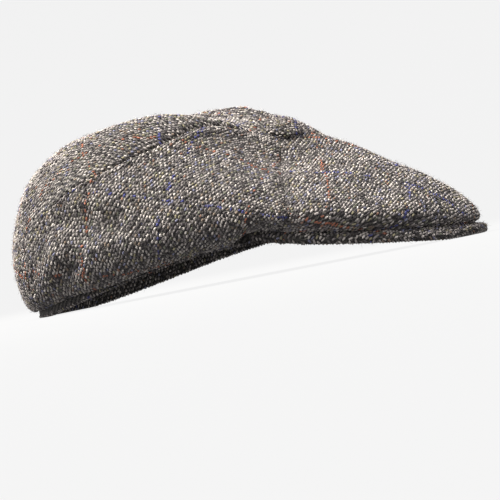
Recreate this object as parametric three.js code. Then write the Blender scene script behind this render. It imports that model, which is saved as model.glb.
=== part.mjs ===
// A soft tweed flat cap, resting on the back of its headband and the front edge of its peak.
// Millimetres. +X is the way the peak points, +Y the wearer's left, +Z up. Z = 0 is the surface it rests on.
import * as THREE from 'three';

// Cloth and the clearance that sewn pieces keep
const CLOTH = 2.0;
const GAP = 0.3;

// Head opening: an oval, half sizes along X and Y, whose lower edge rises towards the front
const HEAD_LENGTH = 103;
const HEAD_WIDTH = 80;
const RIM_FRONT_RISE = 22;
const RIM_SIDE_ARCH = 7;
const RIM_FLAT = 2.3; // how much of the curved lower edge is pressed flat at the back

// Headband: a strip of tweed standing inside the head opening
const BAND_THICK = 2.5;
const BAND_HEIGHT = 26;

// Covered button at the meeting point of the crown's panels
const BUTTON_X = 35;
const BUTTON_Y = -12; // the soft crown slumps a little to the wearer's right
const BUTTON_Z = 79;
const BUTTON_RADIUS = 10.5;
const BUTTON_HEIGHT = 5.5;
const BUTTON_FOOT = 0.86; // share of the radius that is flat below
const BUTTON_WAIST = 0.42; // share of the height where it is widest
const BUTTON_TILT = 24; // degrees, nose down
const BUTTON_LEAN = 28; // degrees, down to the wearer's right
const LEAN_SPREAD = 35; // how far the crown leans with the button
const SEAT_RADIUS = 11; // the crown is pressed flat under the button
const SEAT_BLEND = 17;

// Crown sections, by angle from the peak. reach: the fullest line's distance from the head opening's centre.
// edge_z: that line's height. lift: the shoulder's height over the button. round: how late the shoulder turns
// down. hump: rise half way.
const CROWN = [
  { angle: 0, reach: 161, edge_z: 10, lift: -52, round: 5.5, hump: 2 },
  { angle: 30, reach: 143, edge_z: 19, lift: -47, round: 4.5, hump: 1 },
  { angle: 60, reach: 113, edge_z: 33, lift: -30, round: 4.5, hump: 2 },
  { angle: 90, reach: 103, edge_z: 33, lift: -10, round: 3.5, hump: 9 },
  { angle: 120, reach: 106, edge_z: 34, lift: 22, round: 3, hump: 13 },
  { angle: 150, reach: 110, edge_z: 27, lift: 22, round: 5, hump: 9 },
  { angle: 180, reach: 110, edge_z: 22, lift: 23, round: 5.5, hump: 9 },
];
const HEM_RISE = 0.8; // the crown's hem over the headband's lower edge, in front and at the sides
const HEM_BACK_RISE = 4.5; // and at the back, where the band shows
const HEM_LIFT_FROM = 112; // degrees where the hem starts to rise
const HEM_LIFT_OVER = 25;
const HEM_BACK_ROOM = 1.4; // more room for the cloth's thickness where the back stands steep
const HEM_BACK_FROM = 130; // degrees

// Peak sections, by angle. reach: beyond the headband. edge_z: height of its lower edge before it is
// pressed flat.
const PEAK = [
  { angle: 0, reach: 60, edge_z: -2.5 },
  { angle: 15, reach: 57.5, edge_z: -1 },
  { angle: 30, reach: 47, edge_z: 4 },
  { angle: 45, reach: 30, edge_z: 11 },
  { angle: 58, reach: 4, edge_z: 18.5 },
];
const PEAK_END = 58; // degrees from the middle to each end of the peak
const PEAK_ROOT_RISE = 2; // the peak's underside over the headband's lower edge
const PEAK_CROWNING = 1.5;
const PEAK_ROUND_FROM = 0.93; // share of the reach where the edge starts to round
const PEAK_ROUND = 2;
const PEAK_CLOTH = 2.6; // each cover, with its half of the stiff insert
const CREASE = 0.88; // share of the peak's reach where the crown's front comes down on it
const CREASE_CLEAR = 0.7; // the crown's front over the peak there
const HEM_TURN = 8; // degrees over which the hem goes from the peak to the headband

// Seams between the panels, by distance down the crown: 0 at the button, 1 at the fullest line, 2 at the hem
const FRONT_SEAM = [
  { down: 0, angle: 56 },
  { down: 0.5, angle: 52 },
  { down: 2, angle: 52 },
];
const BACK_SEAM = [
  { down: 0, angle: 114 },
  { down: 0.4, angle: 102 },
  { down: 0.65, angle: 112 },
  { down: 0.85, angle: 132 },
  { down: 1.1, angle: 142 },
  { down: 2, angle: 146 },
];
const SEAM_TRIM = 0.25; // how far each panel keeps from the seam's line
const SEAM_DIP = 1.0;
const SEAM_WIDTH = 5;
const RELIEF_FADE = 1.35; // folds and seams flatten from here to the hem

// Folds and dents in the cloth, each a line between two places on the crown, given as angle and distance
// down. A negative angle is the right side. depth: outwards if positive.
const FOLDS = [
  { from: [-122, 0.87], to: [-103, 0.89], width: 8, depth: -4 }, // dent under the right back seam
  { from: [-115, 0.95], to: [-122, 1.2], width: 8, depth: -2.5 },
  { from: [-126, 1.05], to: [-149, 1.7], width: 6, depth: 3 }, // gather that runs to the hem
  { from: [-119, 1.2], to: [-130, 1.6], width: 5, depth: -2.5 },
  { from: [-66, 0.3], to: [-56, 0.75], width: 9, depth: -1.5 }, // hollow behind the right front seam
  { from: [-104, 0.72], to: [-64, 0.66], width: 15, depth: 2 }, // full roll of the right side
  { from: [66, 0.3], to: [57, 0.8], width: 9, depth: -1.5 },
  { from: [112, 0.66], to: [70, 0.7], width: 15, depth: 2 },
  { from: [124, 0.78], to: [117, 1.1], width: 9, depth: -2.5 }, // dent at the left of the back
  { from: [168, 0.85], to: [160, 1.3], width: 8, depth: -2 }, // soft dent behind
  { from: [-18, 0.5], to: [14, 0.42], width: 12, depth: -1 }, // slack across the front slope
];

// Mesh fineness: steps along each panel and piece
const POLE = 0.03; // where the panels' tips end, under the button
const DOWN_STEPS = 15;
const UNDER_STEPS = 7;
const PANEL_STEPS = { front: 16, side: 13, back: 16 };
const PEAK_STEPS = 32;
const BAND_STEPS = 80;
const BUTTON_SIDES = 28;
const BUTTON_LOW_STEPS = 3;
const BUTTON_DOME_STEPS = 5;
const PEAK_ROWS = [0, 0.2, 0.4, 0.6, 0.76, 0.86, 0.93, 0.97, 1];

// The part's length is centred on X = 0
const BACK_REACH = CROWN[CROWN.length - 1].reach;
const FRONT_REACH = Math.max(CROWN[0].reach, HEAD_LENGTH + GAP + PEAK[0].reach);
const HEAD_X = (BACK_REACH - FRONT_REACH) / 2;

const rad = THREE.MathUtils.degToRad;
const clamp01 = (value) => THREE.MathUtils.clamp(value, 0, 1);
const ease = (value) => THREE.MathUtils.smoothstep(value, 0, 1);

// A smooth curve through a table's rows: cubic pieces, level at the first and last row.
function along(table, key, column, at) {
  const last = table.length - 1;
  const spot = THREE.MathUtils.clamp(at, table[0][key], table[last][key]);
  const slope = (row) => {
    if (row === 0 || row === last) return 0;
    const rise = table[row + 1][column] - table[row - 1][column];
    return rise / (table[row + 1][key] - table[row - 1][key]);
  };
  let row = 0;
  while (row < last - 1 && spot >= table[row + 1][key]) row += 1;
  const step = table[row + 1][key] - table[row][key];
  const t = (spot - table[row][key]) / step;
  const start = (1 + 2 * t) * (1 - t) ** 2 * table[row][column] + t * (1 - t) ** 2 * step * slope(row);
  const end = t * t * (3 - 2 * t) * table[row + 1][column] + t * t * (t - 1) * step * slope(row + 1);
  return start + end;
}

// Angle from the middle of the peak, 0 to 180 on either side
function fromPeak(angle) {
  return Math.abs(THREE.MathUtils.euclideanModulo(angle + 180, 360) - 180);
}

// Head opening: distance of its oval from its centre, grown by a margin, and the height of its lower edge
function rimRadius(angle, margin) {
  const lengthways = Math.cos(rad(angle)) / (HEAD_LENGTH + margin);
  const sideways = Math.sin(rad(angle)) / (HEAD_WIDTH + margin);
  return 1 / Math.hypot(lengthways, sideways);
}
function rimHeight(angle) {
  const rise = (RIM_FRONT_RISE * (1 + Math.cos(rad(angle)))) / 2;
  return Math.max(0, rise + RIM_SIDE_ARCH * Math.sin(rad(angle)) ** 2 - RIM_FLAT);
}
function place(angle, radius, z) {
  return new THREE.Vector3(HEAD_X + radius * Math.cos(rad(angle)), radius * Math.sin(rad(angle)), z);
}

// Peak: its lower face, from the headband (share 0) to its edge (share 1), raised by a height. The lower
// face is pressed flat where it rests.
function peakPoint(angle, share, height) {
  const reach = along(PEAK, 'angle', 'reach', fromPeak(angle));
  const root = rimHeight(angle) + PEAK_ROOT_RISE;
  const edge = along(PEAK, 'angle', 'edge_z', fromPeak(angle));
  const crowning = (PEAK_CROWNING * 4 * share * (1 - share) * reach) / PEAK[0].reach;
  const z = Math.max(0, root + (edge - root) * share + crowning);
  return place(angle, rimRadius(angle, GAP) + reach * share, z + height);
}
const PEAK_THICK = 2 * PEAK_CLOTH + GAP;

// Distance from the button's axis, seen from above
function fromButton(point) {
  return Math.hypot(point.x - BUTTON_X, point.y - BUTTON_Y);
}

// Crown: the smooth outer surface, before folds. down runs 0 at the button, 1 at the fullest line, 2 at
// the hem.
function crownForm(angle, down) {
  const turn = fromPeak(angle);
  const [reach, edgeZ, lift, round, hump] = ['reach', 'edge_z', 'lift', 'round', 'hump'].map((column) =>
    along(CROWN, 'angle', column, turn),
  );
  const edge = place(angle, reach, edgeZ);
  if (down <= 1) {
    const out = Math.sin((Math.PI / 2) * down);
    const body = BUTTON_Z - edgeZ + lift * out + hump * 4 * out * (1 - out);
    const point = new THREE.Vector3(BUTTON_X, BUTTON_Y, 0).lerp(edge, out);
    const away = fromButton(point);
    const lean = Math.tan(rad(BUTTON_LEAN)) * (point.y - BUTTON_Y);
    const seat = BUTTON_Z - Math.tan(rad(BUTTON_TILT)) * (point.x - BUTTON_X) + lean;
    const dome = edgeZ + body * Math.sqrt(Math.max(0, 1 - out ** round));
    const slump = lean * Math.exp(-((away / LEAN_SPREAD) ** 2));
    point.z = THREE.MathUtils.lerp(seat, dome + slump, ease((away - SEAT_RADIUS) / SEAT_BLEND));
    return point;
  }
  const onPeak = Math.min(turn, PEAK_END) * Math.sign(Math.sin(rad(angle)) || 1);
  const crease = peakPoint(onPeak, CREASE, PEAK_THICK + CREASE_CLEAR);
  const creaseRadius = Math.hypot(crease.x - HEAD_X, crease.y);
  const hemward = ease((turn - PEAK_END - 1) / HEM_TURN);
  const lifted = ease((turn - HEM_LIFT_FROM) / HEM_LIFT_OVER);
  const hemZ = rimHeight(angle) + THREE.MathUtils.lerp(HEM_RISE, HEM_BACK_RISE, lifted);
  const backRoom = HEM_BACK_ROOM * ease((turn - HEM_BACK_FROM) / (180 - HEM_BACK_FROM));
  const foot = place(
    angle,
    THREE.MathUtils.lerp(creaseRadius, rimRadius(angle, GAP + backRoom), hemward),
    THREE.MathUtils.lerp(crease.z, hemZ, hemward),
  );
  const bend = (Math.PI / 2) * (down - 1);
  const inward = 1 - Math.cos(bend);
  return new THREE.Vector3(
    THREE.MathUtils.lerp(edge.x, foot.x, inward),
    THREE.MathUtils.lerp(edge.y, foot.y, inward),
    THREE.MathUtils.lerp(edge.z, foot.z, Math.sin(bend)),
  );
}

// Outward direction of the smooth surface, from two short steps along it
function crownOutward(angle, down) {
  const step = 0.004;
  const turnStep = 0.2;
  const low = Math.max(POLE / 2, down - step);
  const high = Math.min(2, down + step);
  const around = crownForm(angle + turnStep, down).sub(crownForm(angle - turnStep, down));
  const downwards = crownForm(angle, high).sub(crownForm(angle, low));
  return downwards.cross(around).normalize();
}

// How far folds and seams move the cloth outwards at a point of the smooth surface
const foldLines = FOLDS.map((fold) => ({
  ...fold,
  line: new THREE.Line3(crownForm(...fold.from), crownForm(...fold.to)),
}));
const nearest = new THREE.Vector3();
function relief(point, angle, down) {
  let out = 0;
  for (const fold of foldLines) {
    fold.line.closestPointToPoint(point, true, nearest);
    out += fold.depth * Math.exp(-((nearest.distanceTo(point) / fold.width) ** 2));
  }
  const radius = fromButton(point);
  const flattened = ease((down - RELIEF_FADE) / (2 - RELIEF_FADE));
  const clear = ease((radius - SEAT_RADIUS) / SEAT_BLEND) * (1 - flattened);
  for (const seam of [FRONT_SEAM, BACK_SEAM]) {
    const off = rad(fromPeak(angle) - along(seam, 'down', 'angle', down)) * radius;
    out -= SEAM_DIP * Math.exp(-((off / SEAM_WIDTH) ** 2));
  }
  return out * clear;
}

// A closed solid between an outer and an inner grid of points, both listed row by row
function wall(outer, inner) {
  const rows = outer.length;
  const columns = outer[0].length;
  const right = columns - 1;
  const low = rows - 1;
  const points = [...outer.flat(), ...inner.flat()];
  const out = (row, column) => row * columns + column;
  const into = (row, column) => rows * columns + out(row, column);
  const index = [];
  const quad = (a, b, c, d) => index.push(a, b, c, a, c, d);
  for (let row = 0; row + 1 < rows; row += 1) {
    for (let column = 0; column + 1 < columns; column += 1) {
      quad(out(row, column), out(row + 1, column), out(row + 1, column + 1), out(row, column + 1));
      quad(into(row, column), into(row, column + 1), into(row + 1, column + 1), into(row + 1, column));
    }
    quad(into(row, 0), into(row + 1, 0), out(row + 1, 0), out(row, 0));
    quad(out(row, right), out(row + 1, right), into(row + 1, right), into(row, right));
  }
  for (let column = 0; column + 1 < columns; column += 1) {
    quad(out(0, column), out(0, column + 1), into(0, column + 1), into(0, column));
    quad(into(low, column), into(low, column + 1), out(low, column + 1), out(low, column));
  }
  const geometry = new THREE.BufferGeometry();
  geometry.setAttribute('position', new THREE.Float32BufferAttribute(points.flatMap((p) => p.toArray()), 3));
  geometry.setIndex(index);
  geometry.computeVertexNormals();
  return geometry;
}

// Draw the first and last point of each row in from the seam
function trimSides(grid) {
  for (const row of grid) {
    const last = row.length - 1;
    const start = row[1].clone().sub(row[0]).setLength(SEAM_TRIM);
    const end = row[last - 1].clone().sub(row[last]).setLength(SEAM_TRIM);
    row[0].add(start);
    row[last].add(end);
  }
  return grid;
}

// A crown panel between two seams, each given as its angle at every distance down
function crownPanel(firstSeam, lastSeam, steps) {
  const downs = [];
  for (let i = 0; i <= DOWN_STEPS; i += 1) downs.push(THREE.MathUtils.lerp(POLE, 1, i / DOWN_STEPS));
  for (let i = 1; i <= UNDER_STEPS; i += 1) downs.push(1 + i / UNDER_STEPS);
  const layer = (inward) =>
    downs.map((down) => {
      const row = [];
      for (let i = 0; i <= steps; i += 1) {
        const across = 0.5 - 0.5 * Math.cos((Math.PI * i) / steps);
        const angle = THREE.MathUtils.lerp(firstSeam(down), lastSeam(down), across);
        const point = crownForm(angle, down);
        const move = relief(point, angle, down) - inward;
        row.push(point.addScaledVector(crownOutward(angle, down), move));
      }
      return row;
    });
  return wall(trimSides(layer(0)), trimSides(layer(CLOTH)));
}

// One cloth layer of the peak, between two heights over the peak's lower face. topRound and underRound say
// how far each of its faces turns towards the peak's middle at the edge.
function peakLayer(bottom, top, underRound, topRound) {
  const face = (height, round) =>
    PEAK_ROWS.map((share) => {
      const past = clamp01((share - PEAK_ROUND_FROM) / (1 - PEAK_ROUND_FROM));
      const turned = round * (1 - Math.sqrt(1 - past * past));
      const row = [];
      for (let i = 0; i <= PEAK_STEPS; i += 1) {
        const angle = THREE.MathUtils.lerp(-PEAK_END, PEAK_END, i / PEAK_STEPS);
        row.push(peakPoint(angle, share, height + turned));
      }
      return row;
    });
  return wall(face(top, topRound), face(bottom, underRound));
}

// The headband: a closed oval strip with a square section
function headband() {
  const corner = [
    { margin: 0, up: 0 },
    { margin: 0, up: BAND_HEIGHT },
    { margin: -BAND_THICK, up: BAND_HEIGHT },
    { margin: -BAND_THICK, up: 0 },
  ];
  const points = [];
  const index = [];
  for (let i = 0; i < BAND_STEPS; i += 1) {
    const angle = (360 * i) / BAND_STEPS;
    for (const { margin, up } of corner) {
      points.push(...place(angle, rimRadius(angle, margin), rimHeight(angle) + up).toArray());
    }
    for (let side = 0; side < 4; side += 1) {
      const a = 4 * i + side;
      const b = 4 * i + ((side + 1) % 4);
      const c = 4 * ((i + 1) % BAND_STEPS) + ((side + 1) % 4);
      const d = 4 * ((i + 1) % BAND_STEPS) + side;
      index.push(a, c, b, a, d, c);
    }
  }
  const geometry = new THREE.BufferGeometry();
  geometry.setAttribute('position', new THREE.Float32BufferAttribute(points, 3));
  geometry.setIndex(index);
  geometry.computeVertexNormals();
  return geometry;
}

// The covered button: a low dome with a rounded edge, flat below
function buttonGeometry() {
  const waist = BUTTON_HEIGHT * BUTTON_WAIST;
  const foot = BUTTON_RADIUS * BUTTON_FOOT;
  const profile = [new THREE.Vector2(0, 0), new THREE.Vector2(foot, 0)];
  for (let i = 1; i <= BUTTON_LOW_STEPS; i += 1) {
    const turn = (Math.PI / 2) * (i / BUTTON_LOW_STEPS);
    const radius = foot + (BUTTON_RADIUS - foot) * Math.sin(turn);
    profile.push(new THREE.Vector2(radius, waist * (1 - Math.cos(turn))));
  }
  for (let i = 1; i <= BUTTON_DOME_STEPS; i += 1) {
    const turn = (Math.PI / 2) * (i / BUTTON_DOME_STEPS);
    const radius = i === BUTTON_DOME_STEPS ? 0 : BUTTON_RADIUS * Math.cos(turn);
    profile.push(new THREE.Vector2(radius, waist + (BUTTON_HEIGHT - waist) * Math.sin(turn)));
  }
  return new THREE.LatheGeometry(profile, BUTTON_SIDES);
}

const tweed = new THREE.MeshStandardMaterial({ color: 0x6f6c68, roughness: 0.95, metalness: 0 });
const darkTweed = new THREE.MeshStandardMaterial({ color: 0x4a4845, roughness: 0.95, metalness: 0 });

const cap = new THREE.Group();
function add(name, geometry, material) {
  const mesh = new THREE.Mesh(geometry, material);
  mesh.name = name;
  cap.add(mesh);
  return mesh;
}

const frontSeam = (down) => along(FRONT_SEAM, 'down', 'angle', down);
const backSeam = (down) => along(BACK_SEAM, 'down', 'angle', down);
const rightFrontSeam = (down) => -frontSeam(down);
const rightBackSeam = (down) => 360 - backSeam(down);
add('crown_front', crownPanel(rightFrontSeam, frontSeam, PANEL_STEPS.front), tweed);
add('crown_left', crownPanel(frontSeam, backSeam, PANEL_STEPS.side), tweed);
add('crown_back', crownPanel(backSeam, rightBackSeam, PANEL_STEPS.back), tweed);
add('crown_right', crownPanel(rightBackSeam, (down) => 360 + rightFrontSeam(down), PANEL_STEPS.side), tweed);

add('peak_under', peakLayer(0, PEAK_CLOTH, PEAK_ROUND, 0), darkTweed);
add('peak_top', peakLayer(PEAK_CLOTH + GAP, PEAK_THICK, 0, -PEAK_ROUND), tweed);
add('headband', headband(), darkTweed);

// The button's axis stands on the pressed seat, a gap above it
const button = add('button', buttonGeometry(), tweed);
const seatNormal = new THREE.Vector3(Math.tan(rad(BUTTON_TILT)), -Math.tan(rad(BUTTON_LEAN)), 1);
seatNormal.normalize();
button.quaternion.setFromUnitVectors(new THREE.Vector3(0, 1, 0), seatNormal);
button.position.set(BUTTON_X, BUTTON_Y, BUTTON_Z).addScaledVector(seatNormal, GAP);

export default cap;
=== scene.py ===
"""A soft tweed flat cap: four crown panels, a covered button, a two-layer peak and a headband.

Shapes are worked out in millimetres: +X the way the peak points, +Y the wearer's left, +Z up.
"""

import bpy
import numpy as np
from mathutils import Matrix


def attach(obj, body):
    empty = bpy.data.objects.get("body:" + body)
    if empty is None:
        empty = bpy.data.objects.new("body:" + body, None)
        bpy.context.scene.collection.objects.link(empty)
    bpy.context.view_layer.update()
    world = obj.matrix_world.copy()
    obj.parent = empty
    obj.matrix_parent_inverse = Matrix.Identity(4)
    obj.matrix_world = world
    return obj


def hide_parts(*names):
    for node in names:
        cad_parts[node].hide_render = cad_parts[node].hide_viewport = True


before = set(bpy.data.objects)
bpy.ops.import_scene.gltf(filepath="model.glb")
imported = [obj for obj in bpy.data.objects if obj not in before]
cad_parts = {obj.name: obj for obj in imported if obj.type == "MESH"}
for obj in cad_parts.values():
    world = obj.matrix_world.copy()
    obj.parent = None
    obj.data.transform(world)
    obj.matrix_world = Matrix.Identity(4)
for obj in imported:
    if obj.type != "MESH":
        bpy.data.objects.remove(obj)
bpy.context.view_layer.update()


# Crown: four panels of wool tweed, cut flat and sewn edge to edge from the button down.
# The front panel rolls under on the peak. The side and back panels are turned in at the head opening,
# where their fullness is eased into the headband, so soft dents and gathers run up from the hem.
CLOTH = 2.0  # thickness of the tweed
SEAM_GAP = 0.3  # clearance between sewn pieces
HEAD_LENGTH, HEAD_WIDTH = 103.0, 80.0  # half sizes of the head opening's oval
RIM_FRONT_RISE, RIM_SIDE_ARCH, RIM_FLAT = 22.0, 7.0, 2.3
BUTTON_X, BUTTON_Y, BUTTON_Z = 35.0, -12.0, 79.0
BUTTON_TILT, BUTTON_LEAN = np.tan(np.radians([24, 28]))  # slope nose down, and down to the wearer's right
LEAN_SPREAD = 35.0  # how far the soft crown leans with the button
SEAT_RADIUS, SEAT_BLEND = 11.0, 17.0
HEM_RISE, HEM_BACK_RISE = 0.8, 4.5  # the hem over the headband's lower edge; behind, the band shows
HEM_LIFT_FROM, HEM_LIFT_OVER = 112.0, 25.0
HEM_BACK_ROOM, HEM_BACK_FROM, HEM_TURN = 1.4, 130.0, 8.0
PEAK_END, PEAK_ROOT_RISE, PEAK_CROWNING = 58.0, 2.0, 1.5
PEAK_CLOTH = 2.6  # each cover of the peak, with its half of the stiff insert
CREASE, CREASE_CLEAR = 0.88, 0.7
SEAM_TRIM = 0.25  # how far each panel keeps from the seam's line
PANEL_TIP = 0.03  # where the panels' tips end, under the button


def table(columns, rows):
    """Rows of numbers with named columns."""
    return np.array(rows, dtype=[(name, float) for name in columns.split()])


CROWN = table("angle reach edge_z lift round hump", [
    (0, 161, 10, -52, 5.5, 2),
    (30, 143, 19, -47, 4.5, 1),
    (60, 113, 33, -30, 4.5, 2),
    (90, 103, 33, -10, 3.5, 9),
    (120, 106, 34, 22, 3, 13),
    (150, 110, 27, 22, 5, 9),
    (180, 110, 22, 23, 5.5, 9),
])
PEAK = table("angle reach edge_z", [
    (0, 60, -2.5),
    (15, 57.5, -1),
    (30, 47, 4),
    (45, 30, 11),
    (58, 4, 18.5),
])
FRONT_SEAM = table("down angle", [(0, 56), (0.5, 52), (2, 52)])
BACK_SEAM = table("down angle", [(0, 114), (0.4, 102), (0.65, 112), (0.85, 132), (1.1, 142), (2, 146)])
# A fold is a line on the crown from one angle and distance down to another; positive depths are outwards.
FOLDS = table("angle_1 down_1 angle_2 down_2 width depth", [
    (-122, 0.87, -103, 0.89, 8, -4),
    (-115, 0.95, -122, 1.2, 8, -2.5),
    (-126, 1.05, -149, 1.7, 6, 3),
    (-119, 1.2, -130, 1.6, 5, -2.5),
    (-66, 0.3, -56, 0.75, 9, -1.5),
    (-104, 0.72, -64, 0.66, 15, 2),
    (66, 0.3, 57, 0.8, 9, -1.5),
    (112, 0.66, 70, 0.7, 15, 2),
    (124, 0.78, 117, 1.1, 9, -2.5),
    (168, 0.85, 160, 1.3, 8, -2),
    (-18, 0.5, 14, 0.42, 12, -1),
])
# Small gathers where the fullness is eased into the headband.
PUCKERS = table("angle_1 down_1 angle_2 down_2 width depth", [
    (-138, 1.12, -152, 1.75, 3, -1.1),
    (-112, 1.25, -118, 1.75, 3.5, -0.8),
    (-160, 1.2, -164, 1.8, 3.5, -0.9),
    (-173, 1.15, -176, 1.8, 4, 0.8),
    (172, 1.25, 176, 1.8, 3.5, -0.8),
    (150, 1.2, 156, 1.75, 3, -0.9),
    (134, 1.2, 142, 1.75, 3.5, 0.9),
    (112, 1.3, 116, 1.75, 3.5, -0.7),
    (-90, 1.35, -93, 1.75, 4, -0.5),
    (88, 1.35, 92, 1.75, 4, -0.5),
])
SEAM_DIP, SEAM_WIDTH = 1.0, 5.0
STITCH_DIP, STITCH_WIDTH = 0.8, 1.3  # the sharp line itself, in the middle of the soft dip
ALLOWANCE_RISE, ALLOWANCE_AT, ALLOWANCE_WIDTH = 1.2, 4.0, 2.4  # turned edges, laid under the side panels
RELIEF_FADE = 1.35  # how far down the folds begin to fade
GATHER_FROM, GATHER_FADE = 1.8, 0.2  # how far down the gathers begin to fade, and over what
FRONT_REACH = max(CROWN["reach"][0], HEAD_LENGTH + SEAM_GAP + PEAK["reach"][0])
HEAD_X = (CROWN["reach"][-1] - FRONT_REACH) / 2


def ease(share):
    """Smooth step: 0 below 0, 1 above 1, level at both ends."""
    share = np.clip(share, 0, 1)
    return share * share * (3 - 2 * share)


def mix(first, second, share):
    """Straight blend from first to second."""
    return first + (second - first) * share


def unit(vectors):
    """Vectors of length one along the last axis."""
    return vectors / np.maximum(np.linalg.norm(vectors, axis=-1, keepdims=True), 1e-9)


def through(rows, key, column, at):
    """Smooth curve through a table's rows: cubic pieces, each row's slope that of the line between its two
    neighbours, level at the first and last row."""
    x, y = rows[key], rows[column]
    slope = np.zeros_like(y)
    slope[1:-1] = (y[2:] - y[:-2]) / (x[2:] - x[:-2])
    spot = np.clip(at, x[0], x[-1])
    row = np.clip(np.searchsorted(x, spot, side="right") - 1, 0, len(x) - 2)
    step = x[row + 1] - x[row]
    t = (spot - x[row]) / step
    start = (1 + 2 * t) * (1 - t) ** 2 * y[row] + t * (1 - t) ** 2 * step * slope[row]
    end = t * t * (3 - 2 * t) * y[row + 1] + t * t * (t - 1) * step * slope[row + 1]
    return start + end


def from_peak(angle):
    """Angle from the middle of the peak, 0 to 180 on either side."""
    return np.abs((angle + 180) % 360 - 180)


def rim_radius(angle, margin):
    """Distance of the head opening's oval from its centre, the oval grown by a margin."""
    turn = np.radians(angle)
    return 1 / np.hypot(np.cos(turn) / (HEAD_LENGTH + margin), np.sin(turn) / (HEAD_WIDTH + margin))


def rim_height(angle):
    """Height of the opening's lower edge: rises towards the front, arches at the sides, flat at the back."""
    turn = np.radians(angle)
    rise = RIM_FRONT_RISE * (1 + np.cos(turn)) / 2
    return np.maximum(0, rise + RIM_SIDE_ARCH * np.sin(turn) ** 2 - RIM_FLAT)


def spot_at(angle, radius, z):
    """Point at an angle and distance round the head opening's centre, at a height."""
    turn = np.radians(angle)
    return np.stack(np.broadcast_arrays(HEAD_X + radius * np.cos(turn), radius * np.sin(turn), z), -1)


def peak_point(angle, share, height):
    """Peak's lower face from the headband (share 0) to its edge (share 1), raised by a height: a straight
    slope with a slight crowning, pressed flat where it would go below the surface it rests on."""
    reach = through(PEAK, "angle", "reach", from_peak(angle))
    root = rim_height(angle) + PEAK_ROOT_RISE
    edge = through(PEAK, "angle", "edge_z", from_peak(angle))
    crowning = PEAK_CROWNING * 4 * share * (1 - share) * reach / PEAK["reach"][0]
    z = np.maximum(0, mix(root, edge, share) + crowning)
    return spot_at(angle, rim_radius(angle, SEAM_GAP) + reach * share, z + height)


PEAK_THICK = 2 * PEAK_CLOTH + SEAM_GAP


def crown_form(angle, down):
    """Crown's smooth outer surface. down is 0 at the button, 1 at the fullest line, 2 at the hem. Above the
    fullest line each section is a flattened arch; below it a quarter oval runs in to the hem or the peak."""
    turn = from_peak(angle)
    reach, edge_z, lift, shoulder, hump = (
        through(CROWN, "angle", column, turn) for column in ("reach", "edge_z", "lift", "round", "hump"))
    edge = spot_at(angle, reach, edge_z)
    out = np.sin(np.pi / 2 * np.clip(down, 0, 1))
    body = BUTTON_Z - edge_z + lift * out + hump * 4 * out * (1 - out)
    x, y = mix(BUTTON_X, edge[..., 0], out), mix(BUTTON_Y, edge[..., 1], out)
    away = np.hypot(x - BUTTON_X, y - BUTTON_Y)
    lean = BUTTON_LEAN * (y - BUTTON_Y)
    seat = BUTTON_Z - BUTTON_TILT * (x - BUTTON_X) + lean
    dome = edge_z + body * np.sqrt(np.maximum(0, 1 - out ** shoulder))
    dome = dome + lean * np.exp(-(away / LEAN_SPREAD) ** 2)
    z = mix(seat, dome, ease((away - SEAT_RADIUS) / SEAT_BLEND))
    upper = np.stack([x, y, z], -1)
    side = np.where(np.sin(np.radians(angle)) < 0, -1, 1)
    crease = peak_point(np.minimum(turn, PEAK_END) * side, CREASE, PEAK_THICK + CREASE_CLEAR)
    crease_radius = np.hypot(crease[..., 0] - HEAD_X, crease[..., 1])
    hemward = ease((turn - PEAK_END - 1) / HEM_TURN)
    hem_z = rim_height(angle) + mix(HEM_RISE, HEM_BACK_RISE, ease((turn - HEM_LIFT_FROM) / HEM_LIFT_OVER))
    back_room = HEM_BACK_ROOM * ease((turn - HEM_BACK_FROM) / (180 - HEM_BACK_FROM))
    foot = spot_at(angle, mix(crease_radius, rim_radius(angle, SEAM_GAP + back_room), hemward),
                   mix(crease[..., 2], hem_z, hemward))
    bend = np.pi / 2 * np.clip(down - 1, 0, 1)
    inward = np.stack([1 - np.cos(bend), 1 - np.cos(bend), np.sin(bend)], -1)
    return np.where((down > 1)[..., None], mix(edge, foot, inward), upper)


TURN_STEP, DOWN_STEP = 0.2, 0.004


def crown_outward(angle, down):
    """Outward direction of the smooth crown, from two short steps along it."""
    around = crown_form(angle + TURN_STEP, down) - crown_form(angle - TURN_STEP, down)
    low, high = np.maximum(PANEL_TIP / 2, down - DOWN_STEP), np.minimum(2, down + DOWN_STEP)
    return unit(np.cross(crown_form(angle, high) - crown_form(angle, low), around))


def fold_relief(points, folds):
    """Sum of soft ridges and dents: each falls off as a bell curve with the distance from its line."""
    start = crown_form(folds["angle_1"], folds["down_1"])
    along = crown_form(folds["angle_2"], folds["down_2"]) - start
    away = points[..., None, :] - start
    share = np.clip((away * along).sum(-1) / (along * along).sum(-1), 0, 1)
    distance = np.linalg.norm(away - share[..., None] * along, axis=-1)
    return (folds["depth"] * np.exp(-(distance / folds["width"]) ** 2)).sum(-1)


def slack(points, seed, waves, length, depth):
    """Uneven lie of soft cloth: plane waves in random directions, about as long and deep as given."""
    draw = np.random.default_rng(seed)
    heading = unit(draw.normal(size=(waves, 3))) * 2 * np.pi / (length * draw.uniform(0.7, 1.5, (waves, 1)))
    return depth * np.sin(points @ heading.T + draw.uniform(0, 2 * np.pi, waves)).sum(-1) / np.sqrt(waves)


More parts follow.
